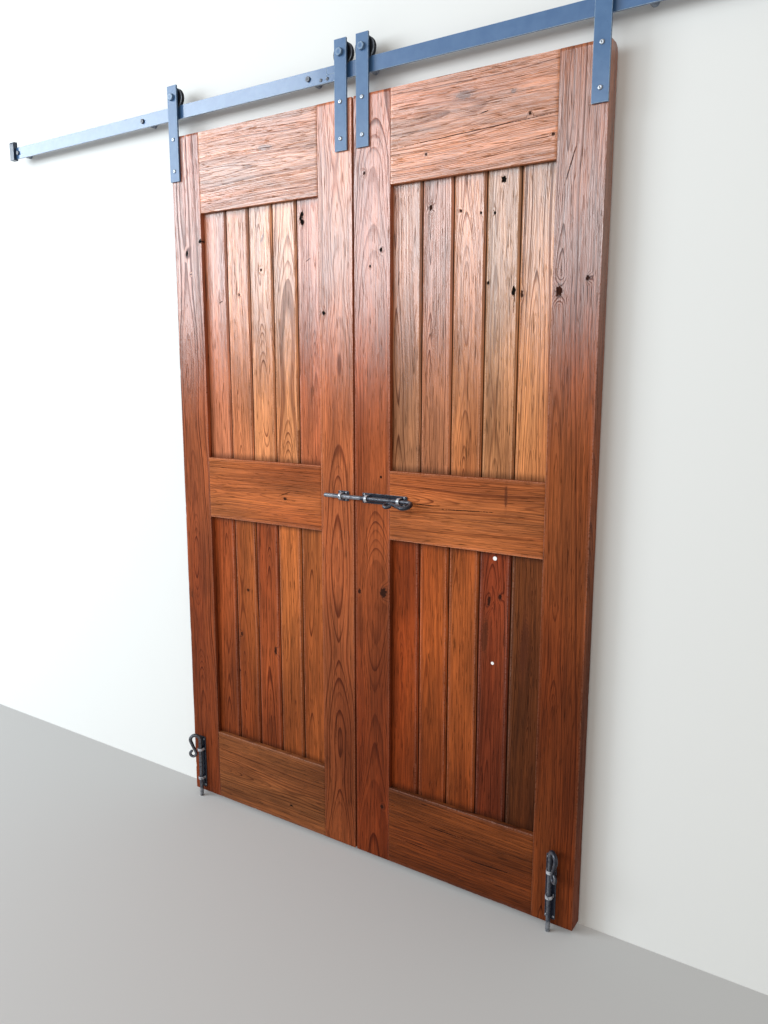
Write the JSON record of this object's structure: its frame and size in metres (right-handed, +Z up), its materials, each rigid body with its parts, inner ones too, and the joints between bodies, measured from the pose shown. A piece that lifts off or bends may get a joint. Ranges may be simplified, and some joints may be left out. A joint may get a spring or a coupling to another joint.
{
  "type": "barn doors",
  "caption": "Framed and boarded timber doors that slide apart on grooved wheels along a flat wall rail, with a centre bolt and drop bolts.",
  "frame": {"origin": "on the wall's face, behind the rail's middle line, where the two leaves meet", "axes": "+X along the rail to the right, +Y into the wall, +Z up"},
  "size_m": [2.97, 0.1587, 2.258],
  "materials": {
    "frame_wood": "varnished reclaimed pine, raised grain, worn arrises",
    "board_wood": "varnished reclaimed pine boards in varied tints",
    "rail_paint": "satin pale steel blue paint",
    "strap_paint": "satin mid steel blue paint",
    "stop_paint": "satin steel blue paint",
    "wheel_finish": "black painted steel with a worn grey face",
    "wrought_iron": "waxed black wrought iron",
    "plated_steel": "bright plated screws and nuts"
  },
  "bodies": {
    "rail": {"rail_left": "rail_paint", "rail_right": "rail_paint", "splice_plate": "stop_paint", "rail_joint_screws": "plated_steel", "wall_spacers": "stop_paint", "wall_screws": "plated_steel", "end_stops": "stop_paint"},
    "left_leaf": {"left_outer_stile": "frame_wood", "left_inner_stile": "frame_wood", "left_top_rail": "frame_wood", "left_mid_rail": "frame_wood", "left_bottom_rail": "frame_wood", "left_upper_board_1": "board_wood", "left_upper_board_2": "board_wood", "left_upper_board_3": "board_wood", "left_upper_board_4": "board_wood", "left_upper_board_5": "board_wood", "left_lower_board_1": "board_wood", "left_lower_board_2": "board_wood", "left_lower_board_3": "board_wood", "left_lower_board_4": "board_wood", "left_lower_board_5": "board_wood", "left_outer_strap": "strap_paint", "left_inner_strap": "strap_paint", "left_axle_bolts": "strap_paint", "left_axle_nuts": "plated_steel", "left_strap_screws": "plated_steel", "left_drop_bolt_plate": "wrought_iron", "left_plate_screws": "wrought_iron", "left_keeper_plate": "wrought_iron"},
    "right_leaf": {"right_outer_stile": "frame_wood", "right_inner_stile": "frame_wood", "right_top_rail": "frame_wood", "right_mid_rail": "frame_wood", "right_bottom_rail": "frame_wood", "right_upper_board_1": "board_wood", "right_upper_board_2": "board_wood", "right_upper_board_3": "board_wood", "right_upper_board_4": "board_wood", "right_upper_board_5": "board_wood", "right_lower_board_1": "board_wood", "right_lower_board_2": "board_wood", "right_lower_board_3": "board_wood", "right_lower_board_4": "board_wood", "right_lower_board_5": "board_wood", "right_outer_strap": "strap_paint", "right_inner_strap": "strap_paint", "right_axle_bolts": "strap_paint", "right_axle_nuts": "plated_steel", "right_strap_screws": "plated_steel", "right_drop_bolt_plate": "wrought_iron", "right_plate_screws": "wrought_iron", "right_centre_bolt_plate": "wrought_iron"},
    "left_outer_wheel": {"left_outer_wheel": "wheel_finish"},
    "left_inner_wheel": {"left_inner_wheel": "wheel_finish"},
    "right_outer_wheel": {"right_outer_wheel": "wheel_finish"},
    "right_inner_wheel": {"right_inner_wheel": "wheel_finish"},
    "left_drop_bolt": {"left_drop_rod": "wrought_iron"},
    "right_drop_bolt": {"right_drop_rod": "wrought_iron"},
    "centre_bolt": {"centre_bolt_rod": "wrought_iron"}
  },
  "joints": [
    {"name": "left_leaf_slide", "type": "slide", "parent": "rail", "child": "left_leaf", "axis": [-1, 0, 0], "range_m": [0, 0.776]},
    {"name": "right_leaf_slide", "type": "slide", "parent": "rail", "child": "right_leaf", "axis": [1, 0, 0], "range_m": [0, 0.776]},
    {"name": "left_outer_wheel_spin", "type": "hinge", "parent": "left_leaf", "child": "left_outer_wheel", "pos_m": [-0.652, -0.047, 0.04], "axis": [0, 1, 0], "continuous": true},
    {"name": "left_inner_wheel_spin", "type": "hinge", "parent": "left_leaf", "child": "left_inner_wheel", "pos_m": [-0.034, -0.047, 0.04], "axis": [0, 1, 0], "continuous": true},
    {"name": "right_outer_wheel_spin", "type": "hinge", "parent": "right_leaf", "child": "right_outer_wheel", "pos_m": [0.652, -0.047, 0.04], "axis": [0, 1, 0], "continuous": true},
    {"name": "right_inner_wheel_spin", "type": "hinge", "parent": "right_leaf", "child": "right_inner_wheel", "pos_m": [0.034, -0.047, 0.04], "axis": [0, 1, 0], "continuous": true},
    {"name": "left_drop_bolt_lift", "type": "slide", "parent": "left_leaf", "child": "left_drop_bolt", "axis": [0, 0, 1], "range_m": [0, 0.045]},
    {"name": "right_drop_bolt_lift", "type": "slide", "parent": "right_leaf", "child": "right_drop_bolt", "axis": [0, 0, 1], "range_m": [0, 0.045]},
    {"name": "centre_bolt_draw", "type": "slide", "parent": "right_leaf", "child": "centre_bolt", "axis": [1, 0, 0], "range_m": [0, 0.11]}
  ],
  "couplings": [
    {"joint": "left_outer_wheel_spin", "follows": "left_leaf_slide", "rad_per_m": -47.619},
    {"joint": "left_inner_wheel_spin", "follows": "left_leaf_slide", "rad_per_m": -47.619},
    {"joint": "right_outer_wheel_spin", "follows": "right_leaf_slide", "rad_per_m": 47.619},
    {"joint": "right_inner_wheel_spin", "follows": "right_leaf_slide", "rad_per_m": 47.619}
  ]
}
